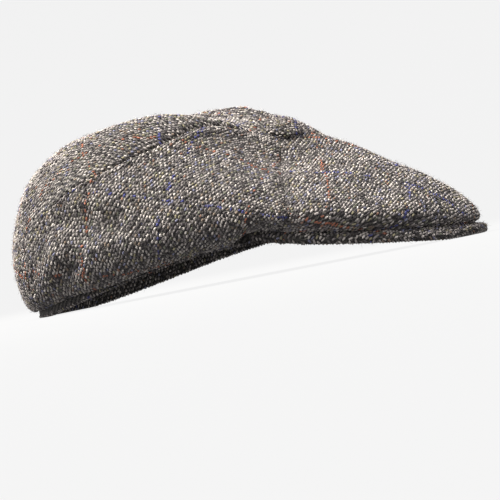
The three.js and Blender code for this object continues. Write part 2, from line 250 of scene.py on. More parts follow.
def crown_face(angle, down):
    """Crown's outer face: the smooth form moved along its outward direction by folds, gathers, slack, and at
    each seam a soft dip with a sharp line in it and a ridge beside it, higher on the side panel."""
    points = crown_form(angle, down)
    radius = np.hypot(points[..., 0] - BUTTON_X, points[..., 1] - BUTTON_Y)
    clear = ease((radius - SEAT_RADIUS) / SEAT_BLEND) * (1 - ease((down - RELIEF_FADE) / (2 - RELIEF_FADE)))
    move = fold_relief(points, FOLDS) + slack(points, seed=5, waves=9, length=34, depth=0.45)
    for seam, lie in ((FRONT_SEAM, 1), (BACK_SEAM, -1)):
        off = lie * np.radians(from_peak(angle) - through(seam, "down", "angle", down)) * radius
        move = move - SEAM_DIP * np.exp(-(off / SEAM_WIDTH) ** 2)
        rise = np.where(off > 0, ALLOWANCE_RISE, ALLOWANCE_RISE / 3)
        ridge = np.exp(-((np.abs(off) - ALLOWANCE_AT) / ALLOWANCE_WIDTH) ** 2)
        move = move + rise * ridge - STITCH_DIP * np.exp(-(off / STITCH_WIDTH) ** 2)
    gathered = 1 - ease((down - GATHER_FROM) / GATHER_FADE)
    move = move * clear + fold_relief(points, PUCKERS) * gathered
    outward = crown_outward(angle, down)
    return points + outward * move[..., None], outward


def quads(grid, axis=-1):
    """The four corners of every cell of a grid, in turn round the cell."""
    return np.stack([grid[:-1, :-1], grid[1:, :-1], grid[1:, 1:], grid[:-1, 1:]], axis)


def wall_faces(rows, columns):
    """Corner numbers of the closed wall between an outer grid and an inner one listed after it: both faces,
    then the two sides, then the top and bottom edges."""
    number = np.arange(rows * columns).reshape(rows, columns)
    inside = number + rows * columns

    def band(a, b):
        return np.stack([a[:-1], a[1:], b[1:], b[:-1]], -1)

    return [quads(number).reshape(-1, 4), quads(inside)[..., [0, 3, 2, 1]].reshape(-1, 4),
            band(inside[:, 0], number[:, 0]), band(number[:, -1], inside[:, -1]),
            band(number[0], inside[0]), band(inside[-1], number[-1])]


def wall_bake_map(rows, columns, parts):
    """Flat layout for baking: the outer face in the left half, the inner face in the right half, the four
    edges as strips along the bottom."""
    grid = np.stack(np.meshgrid(np.linspace(0, 1, rows), np.linspace(0, 1, columns), indexing="ij"), -1)
    half = grid.reshape(-1, 2)[:, ::-1] * (0.47, 0.9)
    corners = [half[parts[0]] + (0.01, 0.08), half[parts[1] - rows * columns] + (0.51, 0.08)]
    for place, part in enumerate(parts[2:]):
        step = np.arange(len(part))[:, None] / len(part)
        along = step + np.array([0, 1, 1, 0]) / len(part)
        across = np.broadcast_to(np.array([0, 0, 1, 1]), along.shape)
        corners.append(np.stack([0.01 + 0.24 * (place + along), 0.01 + 0.05 * across], -1))
    return np.concatenate(corners).reshape(-1, 2)


def new_piece(name, points, faces, material, maps, crease=None, yarn=None):
    """Mesh object from points in millimetres and faces, with its UV maps by corner and its yarn colours by
    point. Edges sharper than the crease angle stay hard."""
    mesh = bpy.data.meshes.new(name)
    mesh.from_pydata((points * 0.001).tolist(), [], faces.tolist())
    for map_name, corners in maps.items():
        layer = mesh.uv_layers.new(name=map_name)
        layer.uv.foreach_set("vector", np.ascontiguousarray(corners, dtype=np.float32).ravel())
    if yarn is not None:
        shade = np.concatenate([yarn, np.ones((len(yarn), 1))], 1).astype(np.float32)
        mesh.color_attributes.new("yarn", "FLOAT_COLOR", "POINT").data.foreach_set("color", shade.ravel())
    mesh.shade_smooth()
    if crease is not None:
        mesh.set_sharp_from_angle(angle=np.radians(crease))
    mesh.materials.append(material)
    piece = bpy.data.objects.new(name, mesh)
    bpy.context.scene.collection.objects.link(piece)
    return piece


def steps(points, axis):
    """Distances between neighbouring points along an axis of their grid."""
    return np.linalg.norm(np.diff(points, axis=axis), axis=-1)


CUT_FROM = 3.0  # from the point that a cut is laid out from to its first row


def flat_cut(face, closed=False):
    """Where each point of a face lay in the flat cut: its distance from the first row along its own column,
    turned by its distance from the middle column along its own row over that distance."""
    down = np.concatenate([np.zeros_like(face[:1, :, 0]), steps(face, 0).cumsum(0)]) + CUT_FROM
    across = np.concatenate([np.zeros_like(face[:, :1, 0]), steps(face, 1).cumsum(1)], 1)
    across = across - across[:, face.shape[1] // 2][:, None]
    turn = across / down
    if closed:
        turn = np.broadcast_to(np.linspace(-np.pi, np.pi, face.shape[1]), down.shape)
    return np.stack([down * np.sin(turn), down * np.cos(turn)], -1)


def turned(cut, degrees):
    """Thread numbers at each point of a flat cut, the cloth's warp turned from the cut's own length."""
    turn = np.radians(degrees)
    grid = np.stack([cut[..., 0] * np.cos(turn) - cut[..., 1] * np.sin(turn),
                     cut[..., 0] * np.sin(turn) + cut[..., 1] * np.cos(turn)], -1)
    return grid / THREAD


def sample(grid, row, column):
    """A grid's value between its points, and its slopes along rows and columns, blended from four points."""
    i = np.clip(row.astype(int), 0, grid.shape[0] - 2)
    j = np.clip(column.astype(int), 0, grid.shape[1] - 2)
    r, c = (row - i)[:, None], (column - j)[:, None]
    a, b, d, e = grid[i, j], grid[i, j + 1], grid[i + 1, j], grid[i + 1, j + 1]
    value = mix(mix(a, b, c), mix(d, e, c), r)
    return value, mix(d - a, e - b, c), mix(b - a, e - d, r)


OVERSHOOT = 1.6  # each move is made this much longer, to settle sooner
COARSE_ROWS, COARSE_COLUMNS, FINE_ROUNDS = 30, 18, 150


def relaxed(cut, face, rounds):
    """Flat cut worked until its grid keeps the lengths it has on the face: every round moves the two ends of
    each edge and diagonal towards their true distance, and each point takes the mean of its moves."""
    every, first, last = slice(None), slice(None, -1), slice(1, None)
    pairs = [((first, every), (last, every)), ((every, first), (every, last)),
             ((first, first), (last, last)), ((first, last), (last, first))]
    true = [np.linalg.norm(face[b] - face[a], axis=-1, keepdims=True) for a, b in pairs]
    meets = np.zeros(cut.shape[:2] + (1,))
    for a, b in pairs:
        meets[a] += 1
        meets[b] += 1
    for _ in range(rounds):
        move = np.zeros_like(cut)
        for (a, b), length in zip(pairs, true):
            gap = cut[b] - cut[a]
            step = 0.5 * gap * (1 - length / np.maximum(np.linalg.norm(gap, axis=-1, keepdims=True), 1e-6))
            move[a] += step
            move[b] -= step
        cut = cut + OVERSHOOT * move / meets
    return cut


def flattened(face, rounds):
    """Flat cut of a panel: laid out from its tip, relaxed on a coarse grid, and then on its own."""
    rows, columns = face.shape[:2]
    coarse_rows = np.linspace(0, rows - 1, COARSE_ROWS).round().astype(int)
    coarse_columns = np.linspace(0, columns - 1, COARSE_COLUMNS).round().astype(int)
    kept = np.ix_(coarse_rows, coarse_columns)
    coarse = relaxed(flat_cut(face)[kept], face[kept], rounds)
    row, column = np.meshgrid(np.interp(np.arange(rows), coarse_rows, np.arange(COARSE_ROWS)),
                              np.interp(np.arange(columns), coarse_columns, np.arange(COARSE_COLUMNS)),
                              indexing="ij")
    fine = sample(coarse, row.ravel(), column.ravel())[0].reshape(rows, columns, 2)
    return relaxed(fine, face, FINE_ROUNDS)


def cross_2d(first, second):
    """Signed area of two flat vectors."""
    return first[:, 0] * second[:, 1] - first[:, 1] * second[:, 0]


SEARCH_SKIP, SEARCH_STEPS, SEARCH_REACH = 3, 8, 4  # coarse spacing, rounds, longest move in a round
SEARCH_CHUNK = 500  # sites looked up together, to spare memory
ON_CLOTH = 0.15  # threads; a site further off than this isn't on the cloth


def find_threads(threads, sites):
    """Row and column, between grid points, where each site of the weave lies: the nearest grid point first,
    then short steps down the cell's own slopes. The last value says which sites lie on the cloth."""
    coarse = threads[::SEARCH_SKIP, ::SEARCH_SKIP]
    flat = coarse.reshape(-1, 2)
    chunks = np.array_split(sites, max(1, len(sites) // SEARCH_CHUNK))
    near = np.concatenate([np.argmin(((part[:, None] - flat) ** 2).sum(-1), 1) for part in chunks])
    row = (near // coarse.shape[1] * SEARCH_SKIP).astype(float)
    column = (near % coarse.shape[1] * SEARCH_SKIP).astype(float)
    for _ in range(SEARCH_STEPS):
        here, down, across = sample(threads, row, column)
        miss, cell = sites - here, cross_2d(down, across)
        cell = np.where(np.abs(cell) < 1e-6, 1e-6, cell)
        row = row + np.clip(cross_2d(miss, across) / cell, -SEARCH_REACH, SEARCH_REACH)
        column = column + np.clip(cross_2d(down, miss) / cell, -SEARCH_REACH, SEARCH_REACH)
        row = np.clip(row, 0, threads.shape[0] - 1.001)
        column = np.clip(column, 0, threads.shape[1] - 1.001)
    here = sample(threads, row, column)[0]
    return row, column, np.linalg.norm(sites - here, axis=1) < ON_CLOTH


def strands(path, side, up, half_width, half_height, sides):
    """Closed spindles along short paths: a point at each end of a path and an oval ring round every place
    between. Returns points by strand, faces of one strand and its flat layout by corner."""
    count, places = path.shape[:2]
    rings = places - 2
    turn = 2 * np.pi * (np.arange(sides) + 0.5 * (sides % 2)) / sides
    oval = (side[:, None] * np.cos(turn)[None, :, None] * half_width[:, None, None]
            + up[:, None] * np.sin(turn)[None, :, None] * half_height[:, None, None])
    ring_points = (path[:, 1:-1, None] + oval[:, None]).reshape(count, rings * sides, 3)
    points = np.concatenate([path[:, :1], ring_points, path[:, -1:]], 1)
    here = np.arange(sides)
    after = (here + 1) % sides
    zero = np.zeros(sides, int)
    last = 1 + (rings - 1) * sides
    tip = zero + 1 + rings * sides
    faces = [np.stack([zero, 1 + after, 1 + here], 1), np.stack([tip, last + here, last + after], 1)]
    low, high = here / sides, (here + 1) / sides
    corners = [np.stack([zero, high, zero + 1 / 3, high, zero + 1 / 3, low], 1),
               np.stack([zero + 1, low, zero + 2 / 3, low, zero + 2 / 3, high], 1)]
    for ring in range(rings - 1):
        a, b = 1 + ring * sides, 1 + (ring + 1) * sides
        faces += [np.stack([a + here, a + after, b + after], 1),
                  np.stack([a + here, b + after, b + here], 1)]
        s, e = zero + 1 / 3, zero + 2 / 3
        corners += [np.stack([s, low, s, high, e, high], 1), np.stack([s, low, e, high, e, low], 1)]
    return points, np.concatenate(faces), np.concatenate(corners).reshape(-1, 2)


def join_strands(name, parts, colours):
    """One mesh of many strands, each with its own colour and its own cell of a square flat layout."""
    side_cells = int(np.ceil(np.sqrt(sum(len(part[0]) for part in parts))))
    points, faces, corners, yarn, offset, placed = [], [], [], [], 0, 0
    for (strand, strand_faces, layout), shade in zip(parts, colours):
        count, each = strand.shape[:2]
        points.append(strand.reshape(-1, 3))
        faces.append((strand_faces[None] + offset + each * np.arange(count)[:, None, None]).reshape(-1, 3))
        cell = placed + np.arange(count)
        corner = np.stack([cell % side_cells, cell // side_cells], 1)[:, None] + 0.08 + 0.84 * layout[None]
        corners.append((corner / side_cells).reshape(-1, 2))
        yarn.append(np.repeat(shade, each, axis=0))
        offset, placed = offset + count * each, placed + count
    return new_piece(name, np.concatenate(points), np.concatenate(faces), wool_yarn,
                     {"OFBake": np.concatenate(corners)}, yarn=np.clip(np.concatenate(yarn), 0, 1))


def linear(code):
    """sRGB hex colour as linear red, green and blue."""
    value = np.array([int(code[i:i + 2], 16) for i in (1, 3, 5)]) / 255
    return np.where(value <= 0.04045, value / 12.92, ((value + 0.055) / 1.055) ** 2.4)


# Tweed: woven two over two from thick woollen-spun yarns, light against dark. Each float shows as a plump
# grain about two threads long, light and dark by turns along a thread and laid like bricks. The yarns are
# dyed in the wool and carded together, so odd floats are olive, blue, brown or rust.
THREAD = 1.05
LEAN, LEAN_VARIES = -12, 13  # degrees that the yarns' twist turns the look of a float
FLOAT_HALF, FLOAT_WIDTH = 1.12, 0.54  # half a float's length and width, in threads
FLOAT_SINK, LIGHT_RISE, DARK_RISE = 0.22, (0.1, 0.34), (-0.12, 0.1)  # its ends' depth, its middle's height
LIGHT_FLAT, DARK_FLAT = 0.62, 0.55  # a float's height over its width
HAIR_HALF = 0.06  # mm; real hairs are about four times finer, drawn coarse enough to show
HAIR_LENGTH, HAIR_LIFT, HAIR_CURL, HAIR_VARIES = (1.4, 4.2), (0.05, 0.9), 0.5, (0.7, 1.25)
LENGTH_VARIES, WIDTH_VARIES = (0.78, 1.22), (0.75, 1.12)  # from float to float
BEAT, SCATTER = 0.22, 0.16  # how far threads wander and single floats stray, in threads
OVERCHECK = 44  # threads between the coloured lines, about 46 mm
OVERCHECK_START = 10
CHECK_SHARE = 0.34  # of the floats on a coloured line that show its dye
YARN_VARIES = (0.75, 1.22)
LIGHT_YARNS = [("#d2c9c1", 0.18), ("#b3aaa5", 0.23), ("#8c8482", 0.18), ("#625b5c", 0.11), ("#383233", 0.12),
               ("#a39a7c", 0.05), ("#84839a", 0.05), ("#948272", 0.04), ("#7b7b6c", 0.03), ("#94705f", 0.01)]
DARK_YARNS = [("#221e1f", 0.38), ("#342f30", 0.26), ("#504948", 0.13), ("#8f8782", 0.1), ("#383950", 0.05),
              ("#46392f", 0.04), ("#5f5a41", 0.03)]
CHECK_YARNS = ("#50518a", "#a86a52")


def yarn_colours(draw, palette, thread, crossing, count):
    """Colours of floats drawn from a palette. Where a line of the overcheck runs, along or across, about a
    third of the floats are blue or rust, by turns from line to line."""
    codes, shares = zip(*palette)
    picked = draw.choice(len(codes), size=count, p=np.array(shares) / sum(shares))
    colours = np.array([linear(code) for code in codes])[picked]
    dyes = np.array([linear(code) for code in CHECK_YARNS])
    for number, wide in ((thread, 2), (crossing, 3)):
        line, place = np.divmod(number + OVERCHECK_START, OVERCHECK)
        check = (place < wide) & (draw.random(count) < CHECK_SHARE)
        colours = np.where(check[:, None], dyes[(line % 2).astype(int)], colours)
    return colours * draw.uniform(*YARN_VARIES, (count, 1))


def drift(sites, seed):
    """Uneven beat of a hand loom: threads wander by part of their spacing, in waves 9 to 25 long."""
    draw = np.random.default_rng(seed)
    heading = draw.normal(size=(2, 8))
    heading = heading / np.linalg.norm(heading, axis=0) * 2 * np.pi / draw.uniform(9, 25, 8)
    wave = np.sin(sites @ heading + draw.uniform(0, 2 * np.pi, 8))
    return BEAT * np.stack([wave[:, :4].sum(1), wave[:, 4:].sum(1)], 1)


def woven_wool(name, face, threads, seed, hairs, rows_kept=(0, 1), tone_and_painted_shade=1.0, edges=True):
    """Yarn floats and loose hairs of a tweed face, joined in one mesh. Along each thread light and dark
    floats take turns, two threads long; on the next thread they lie two further on, like bricks."""
    draw = np.random.default_rng(seed)
    low = np.floor(threads.reshape(-1, 2).min(0)).astype(int) - 4
    high = np.ceil(threads.reshape(-1, 2).max(0)).astype(int) + 4
    rows, columns = face.shape[:2]
    repeats = np.arange(low[1] // 4 - 1, high[1] // 4 + 2)
    number, step = (part.ravel() for part in np.meshgrid(np.arange(low[0], high[0]), repeats, indexing="ij"))
    parts, colours = [], []
    for kind, start, palette in (("light", 1, LIGHT_YARNS), ("dark", 3, DARK_YARNS)):
        sites = np.stack([number + 0.5, 4.0 * step + 2 * (number % 2) + start], 1)
        crossing = np.floor(sites[:, 1])
        sites = sites + drift(sites, seed=7) + draw.normal(0, SCATTER, sites.shape)
        row, column, on_cloth = find_threads(threads, sites)
        share = row / (rows - 1)
        on_cloth &= (share > rows_kept[0]) & (share < rows_kept[1])
        row, column, thread, crossing = row[on_cloth], column[on_cloth], number[on_cloth], crossing[on_cloth]
        point, down, across = sample(face, row, column)
        slope_down, slope_across = sample(threads, row, column)[1:]
        cell = cross_2d(slope_down, slope_across)[:, None]
        run = (across * slope_down[:, :1] - down * slope_across[:, :1]) / cell
        up = unit(np.cross(down, across))
        count = len(point)
        stretch = np.clip(np.linalg.norm(run, axis=1) / THREAD, 0.75, 1.25)
        run = unit(run)
        side = np.cross(up, run)
        lean = np.radians(draw.normal(LEAN, LEAN_VARIES, count))[:, None]
        run = run * np.cos(lean) + side * np.sin(lean)
        side = np.cross(up, run)
        half = THREAD * FLOAT_HALF * stretch * draw.uniform(*LENGTH_VARIES, count)
        width = THREAD * FLOAT_WIDTH * draw.uniform(*WIDTH_VARIES, count)
        if edges:
            first = sample(face, row, np.zeros(count))[0]
            last = sample(face, row, np.full(count, columns - 1.001))[0]
            room = np.minimum(np.linalg.norm(point - first, axis=1), np.linalg.norm(point - last, axis=1))
            half = half * np.clip(0.45 + room / 2.4, 0.5, 1)
        half, sink = half[:, None], up * FLOAT_SINK
        if kind == "light":
            rise = up * draw.uniform(*LIGHT_RISE, (count, 1))
            path = np.stack([point - run * half - sink, point - run * half * 0.5 + rise,
                             point + run * half * 0.5 + rise, point + run * half - sink], 1)
            parts.append(strands(path, side, up, width, width * LIGHT_FLAT, 4))
        else:
            rise = up * draw.uniform(*DARK_RISE, (count, 1))
            path = np.stack([point - run * half - sink, point + rise, point + run * half - sink], 1)
            parts.append(strands(path, side, up, width, width * DARK_FLAT, 4))
        # Painted shade: a factor below one darkens every float of a face that lies in shade.
        colours.append(yarn_colours(draw, palette, thread, crossing, count) * tone_and_painted_shade)
        if kind == "light":
            pick = draw.integers(0, count, hairs)
            foot, away = point[pick], up[pick]
            lie = unit(run[pick] * draw.normal(size=(hairs, 1)) + side[pick] * draw.normal(size=(hairs, 1)))
            heading = unit(lie + away * draw.uniform(*HAIR_LIFT, (hairs, 1)))
            reach = draw.uniform(*HAIR_LENGTH, (hairs, 1))
            curl = np.cross(heading, away) * draw.normal(0, HAIR_CURL, (hairs, 1))
            bend = foot + (heading + curl * 0.4) * reach * 0.5 + away * 0.25
            hair_path = np.stack([foot - away * 0.2, bend, foot + (heading + curl) * reach], 1)
            hair_side = unit(np.cross(heading, away))
            thin = np.full(hairs, HAIR_HALF)
            hair = strands(hair_path, hair_side, np.cross(heading, hair_side), thin, thin, 3)
            hair_shade = colours[0][pick] * draw.uniform(*HAIR_VARIES, (hairs, 1))
    parts.append(hair)
    colours.append(hair_shade)
    for strand, _, _ in parts:
        strand[..., 2] -= np.minimum(0, strand[..., 2].min(1))[:, None]
    return join_strands(name, parts, colours)


def add_node(tree, kind, inputs=(), **settings):
    """Adds a node with its settings; inputs gives each socket, by name or number, a value or a link."""
    made = tree.nodes.new(kind)
    for name, value in settings.items():
        setattr(made, name, value)
    for name, value in dict(inputs).items():
        if isinstance(value, bpy.types.NodeSocket):
            tree.links.new(value, made.inputs[name])
        else:
            made.inputs[name].default_value = value
    return made


def new_material(name):
    """Empty node material with its output."""
    material = bpy.data.materials.new(name)
    material.use_nodes = True
    material.node_tree.nodes.clear()
    return material, material.node_tree, material.node_tree.nodes.new("ShaderNodeOutputMaterial")


# Woollen yarn: carded, loosely twisted and unglazed, so each float is matt with a faint halo of fine hair.
# Its colour is dyed through; fine streaks along it are single fibres.
wool_yarn, tree, surface = new_material("woollen_yarn")
colour = add_node(tree, "ShaderNodeAttribute", attribute_name="yarn")
place = add_node(tree, "ShaderNodeTexCoord")
FIBRE = 0.25  # mm; real fibres are ten times finer, drawn coarse enough to show
streak = add_node(tree, "ShaderNodeTexNoise", {
    "Vector": place.outputs["Object"], "Scale": 1000 / FIBRE, "Detail": 2.0})
streak_tone = add_node(tree, "ShaderNodeMapRange", {
    "Value": streak.outputs["Fac"], "From Min": 0.3, "From Max": 0.7, "To Min": 0.72, "To Max": 1.22})
toned = add_node(tree, "ShaderNodeVectorMath", {
    0: colour.outputs["Color"], 1: streak_tone.outputs["Result"]}, operation="MULTIPLY")
fluff = add_node(tree, "ShaderNodeBump", {
    "Height": streak.outputs["Fac"], "Strength": 0.35, "Distance": 0.0001})
shader = add_node(tree, "ShaderNodeBsdfPrincipled", {
    "Base Color": toned.outputs["Vector"], "Roughness": 0.95, "IOR": 1.54, "Specular IOR Level": 0.15,
    "Sheen Weight": 0.12, "Sheen Roughness": 0.6, "Normal": fluff.outputs["Normal"]})
tree.links.new(shader.outputs["BSDF"], surface.inputs["Surface"])


def tweed_ground(name, light, dark, depth):
    """Tweed seen between and behind the floats: a two-over-two twill drawn on its thread numbers.
    A cell is light where the sum of its two thread numbers leaves 0 or 1 over four; its height falls to
    nothing at the edges of its thread, where painted shade darkens its colour to a quarter."""
    material, tree, surface = new_material(name)
    cloth = add_node(tree, "ShaderNodeUVMap", uv_map="Cloth").outputs["UV"]
    wobble = add_node(tree, "ShaderNodeTexNoise", {"Vector": cloth, "Scale": 0.35, "Detail": 1.0})
    uneven = add_node(tree, "ShaderNodeVectorMath", {0: wobble.outputs["Color"], 1: (0.5, 0.5, 0.5)},
                      operation="SUBTRACT")
    spread = add_node(tree, "ShaderNodeVectorMath", {0: uneven.outputs["Vector"], "Scale": 0.9},
                      operation="SCALE")
    laid = add_node(tree, "ShaderNodeVectorMath", {0: cloth, 1: spread.outputs["Vector"]}, operation="ADD")
    cell = add_node(tree, "ShaderNodeVectorMath", {0: laid.outputs["Vector"]}, operation="FLOOR")
    within = add_node(tree, "ShaderNodeVectorMath", {0: laid.outputs["Vector"]}, operation="FRACTION")
    number = add_node(tree, "ShaderNodeSeparateXYZ", {0: cell.outputs["Vector"]}).outputs
    inside = add_node(tree, "ShaderNodeSeparateXYZ", {0: within.outputs["Vector"]}).outputs
    both = add_node(tree, "ShaderNodeMath", {0: number["X"], 1: number["Y"]}, operation="ADD")
    over = add_node(tree, "ShaderNodeMath", {0: both.outputs["Value"], 1: 4.0}, operation="FLOORED_MODULO")
    warp_up = add_node(tree, "ShaderNodeMath", {0: over.outputs["Value"], 1: 1.5},
                       operation="LESS_THAN").outputs["Value"]
    across = add_node(tree, "ShaderNodeMix", {"Factor": warp_up, "A": inside["Y"], "B": inside["X"]})
    fold = add_node(tree, "ShaderNodeMath", {0: across.outputs["Result"], 1: 0.5}, operation="PINGPONG")
    plump = add_node(tree, "ShaderNodeMath", {0: fold.outputs["Value"], 1: 0.5},
                     operation="POWER").outputs["Value"]
    tone_and_painted_shade = add_node(tree, "ShaderNodeTexWhiteNoise", {"Vector": cell.outputs["Vector"]},
                    noise_dimensions="2D")
    dark_yarn, light_yarn = (
        add_node(tree, "ShaderNodeMix", {"Factor": tone_and_painted_shade.outputs["Value"], "A": (*linear(first), 1),
                                         "B": (*linear(second), 1)}, data_type="RGBA")
        for first, second in (dark, light))
    yarns = add_node(tree, "ShaderNodeMix", {"Factor": warp_up}, data_type="RGBA")
    tree.links.new(dark_yarn.outputs[2], yarns.inputs[6])
    tree.links.new(light_yarn.outputs[2], yarns.inputs[7])
    # Painted shade: the colour is darkened to a quarter at the edges of each thread, in the gaps between
    # threads.
    shade = add_node(tree, "ShaderNodeMapRange", {"Value": plump, "From Max": 0.7, "To Min": 0.25})
    colour_with_painted_shade = add_node(tree, "ShaderNodeVectorMath", {0: yarns.outputs[2], 1: shade.outputs["Result"]},
                      operation="MULTIPLY")
    relief = add_node(tree, "ShaderNodeBump", {"Height": plump, "Strength": 0.9, "Distance": depth})
    shader = add_node(tree, "ShaderNodeBsdfPrincipled", {
        "Base Color": colour_with_painted_shade.outputs["Vector"], "Roughness": 0.96, "IOR": 1.54, "Specular IOR Level": 0.15,
        "Sheen Weight": 0.1, "Sheen Roughness": 0.6, "Normal": relief.outputs["Normal"]})
    tree.links.new(shader.outputs["BSDF"], surface.inputs["Surface"])
    return material


crown_ground = tweed_ground("crown_tweed_ground", ("#8d8880", "#5d5954"), ("#2a2828", "#45413f"), 0.0004)


def cloth_panel(name, outer, inner, threads, material):
    """Closed cloth wall between an outer and an inner grid, with its thread numbers as a UV map."""
    rows, columns = outer.shape[:2]
    parts = wall_faces(rows, columns)
    faces = np.concatenate(parts)
    both = np.concatenate([threads.reshape(-1, 2), threads.reshape(-1, 2) + CLOTH / THREAD])
    points = np.concatenate([outer.reshape(-1, 3), inner.reshape(-1, 3)])
    maps = {"Cloth": both[faces].reshape(-1, 2), "OFBake": wall_bake_map(rows, columns, parts)}
    return new_piece(name, points, faces, material, maps, crease=50)


def trim_sides(grid):
    """Draws the first and last point of every row in from the seam."""
    grid = grid.copy()
    grid[:, 0] += unit(grid[:, 1] - grid[:, 0]) * SEAM_TRIM
    grid[:, -1] += unit(grid[:, -2] - grid[:, -1]) * SEAM_TRIM
    return grid


PANEL_DOWN = np.concatenate([np.linspace(PANEL_TIP, 1, 84, endpoint=False), np.linspace(1, 2, 34)])
seam_front, seam_back = (
    through(seam, "down", "angle", PANEL_DOWN)[:, None] for seam in (FRONT_SEAM, BACK_SEAM))
PANEL_SEED = 20
# Name, first and last seam, columns, rounds of flattening, turn of the cloth's grain in the cut, where the
# cut lay on the check in threads, loose hairs, what it rests on
PANELS = [
    ("front", -seam_front, seam_front, 90, 60, 104, (50, -47), 2600, "peak_top"),
    ("left", seam_front, seam_back, 70, 400, -20, (-27, -15), 2000, "headband"),
    ("back", seam_back, 360 - seam_back, 96, 400, 0, (-29, 26), 3000, "headband"),
    ("right", 360 - seam_back, 360 - seam_front, 70, 400, 20, (27, -15), 2000, "headband"),
]
for place_number, row in enumerate(PANELS):
    side_name, first_seam, last_seam, columns, rounds, grain, lay, hairs, rest = row
    across = 0.5 - 0.5 * np.cos(np.pi * np.linspace(0, 1, columns))
    angle = mix(first_seam, last_seam, mix(across, np.linspace(0, 1, columns), 0.5)[None])
    down = np.broadcast_to(PANEL_DOWN[:, None], angle.shape)
    outer, outward = crown_face(angle, down)
    inner = trim_sides(outer - outward * CLOTH)
    outer = trim_sides(outer)
    cut = flattened(outer, rounds)
    threads = turned(cut, grain) + lay
    panel = cloth_panel(f"{side_name}_panel", outer, inner, threads, crown_ground)
    wool = woven_wool(f"{side_name}_panel_wool", outer, threads, PANEL_SEED + place_number, hairs,
                      rows_kept=(0.012, 0.985))
    for piece in (panel, wool):
        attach(piece, "root")
    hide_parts(f"crown_{side_name}")


# Button: a low dome form covered with the same tweed, its cover drawn tight and gathered underneath.
# It sits over the point where the four panels meet and is sewn through the crown.
BUTTON_RADIUS, BUTTON_HEIGHT, BUTTON_FOOT, BUTTON_WAIST = 10.5, 5.5, 0.86, 0.42
BUTTON_WIDEST = 0.75  # share of the way down its cover
BUTTON_GATHERS, BUTTON_GATHER = 11, 0.012
BUTTON_GATHER_FROM, BUTTON_GATHER_OVER = 0.35, 0.4  # where on the cover they begin, and over what


def button_face(turn, run):
    """Covered dome round its tilted axis. run is 0 at the top and 1 at the foot: a quarter oval down to the
    widest line, then a quarter oval in to the foot, with faint radial gathers below."""
    waist, foot = BUTTON_HEIGHT * BUTTON_WAIST, BUTTON_RADIUS * BUTTON_FOOT
    upper = np.pi / 2 * np.clip(run / BUTTON_WIDEST, 0, 1)
    lower = np.pi / 2 * np.clip((run - BUTTON_WIDEST) / (1 - BUTTON_WIDEST), 0, 1)
    above = run <= BUTTON_WIDEST
    radius = np.where(above, BUTTON_RADIUS * np.sin(upper), mix(foot, BUTTON_RADIUS, np.cos(lower)))
    height = np.where(above, mix(waist, BUTTON_HEIGHT, np.cos(upper)), waist * (1 - np.sin(lower)))
    gathered = ease((run - BUTTON_GATHER_FROM) / BUTTON_GATHER_OVER)
    radius = radius * (1 + BUTTON_GATHER * np.sin(BUTTON_GATHERS * turn) * gathered)
    axis = unit(np.array([BUTTON_TILT, -BUTTON_LEAN, 1]))
    forward = unit(np.array([1, 0, -BUTTON_TILT]))
    sideways = np.cross(axis, forward)
    base = np.array([BUTTON_X, BUTTON_Y, BUTTON_Z]) + axis * SEAM_GAP
    flat = forward * (radius * np.cos(turn))[..., None] + sideways * (radius * np.sin(turn))[..., None]
    return base + flat + axis * height[..., None]


run, turn = np.meshgrid(np.linspace(0.02, 1, 26), np.linspace(0, 2 * np.pi, 73), indexing="ij")
dome = button_face(turn, run)
sole = dome[-1, :-1].mean(0)
threads = turned(flat_cut(dome, closed=True), 20)
button_rows, button_columns = dome.shape[:2]
number = np.arange(button_rows * (button_columns - 1)).reshape(button_rows, -1)
ring = np.concatenate([number, number[:, :1]], 1)
skin = quads(ring).reshape(-1, 4)
tip, base = number[-1, -1] + 1, number[-1, -1] + 2
top_cap = np.stack([np.full(button_columns - 1, tip), ring[0, :-1], ring[0, 1:]], 1)
sole_cap = np.stack([np.full(button_columns - 1, base), ring[-1, 1:], ring[-1, :-1]], 1)
cover_points = np.concatenate([dome[:, :-1].reshape(-1, 3), dome[0, :-1].mean(0)[None], sole[None]])
cover_threads = np.concatenate([threads[:, :-1].reshape(-1, 2), np.zeros((2, 2))])
flat_round = threads / np.abs(threads).max() * 0.24
cover_bake = np.concatenate([flat_round[:, :-1].reshape(-1, 2) + 0.25, [[0.25, 0.25], [0.75, 0.25]]])
rim_bake = cover_bake.copy()
rim_bake[:-1, 0] += 0.5
triangles = np.concatenate([skin[:, [0, 1, 2]], skin[:, [0, 2, 3]], top_cap, sole_cap])
button_maps = {
    "Cloth": cover_threads[triangles].reshape(-1, 2),
    "OFBake": np.concatenate([cover_bake[triangles[:-len(sole_cap)]], rim_bake[sole_cap]]).reshape(-1, 2),
}
button = new_piece("button_cover", cover_points, triangles, crown_ground, button_maps, crease=60)
button_wool = woven_wool("button_cover_wool", dome, threads, 31, 120, rows_kept=(0.0, 0.97), edges=False)
for piece in (button, button_wool):
    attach(piece, "root")
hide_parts("button")


# Peak: a thin stiff insert between two covers of tweed, turned in and sewn together round the front edge.
# A row of stitches runs round the underside, a short way in from the edge.
PEAK_ROUND_FROM, PEAK_ROUND = 0.93, 2.0
PEAK_GRAIN = 80  # degrees that the cloth's grain is turned in the cut
STITCH_IN = 8.0  # the stitched line, in from the edge
STITCH_PITCH, STITCH_LONG, STITCH_HALF = 3.0, 2.2, 0.32
STITCH_STOP = 9  # degrees short of the peak's ends


def peak_face(angle, share, height, rounding):
    """One face of a peak cover: the peak's form at a height, turned to the peak's middle at the edge."""
    past = np.clip((share - PEAK_ROUND_FROM) / (1 - PEAK_ROUND_FROM), 0, 1)
    return peak_point(angle, share, height + rounding * (1 - np.sqrt(1 - past * past)))


def over_edge(face, inside):
    """Cover's face carried on over the peak's edge, straight down to the edge of its inner side."""
    part_way = np.array([0.25, 0.5, 0.75, 1.0])
    return np.concatenate([face, mix(face[-1], inside[-1], part_way[:, None, None])])


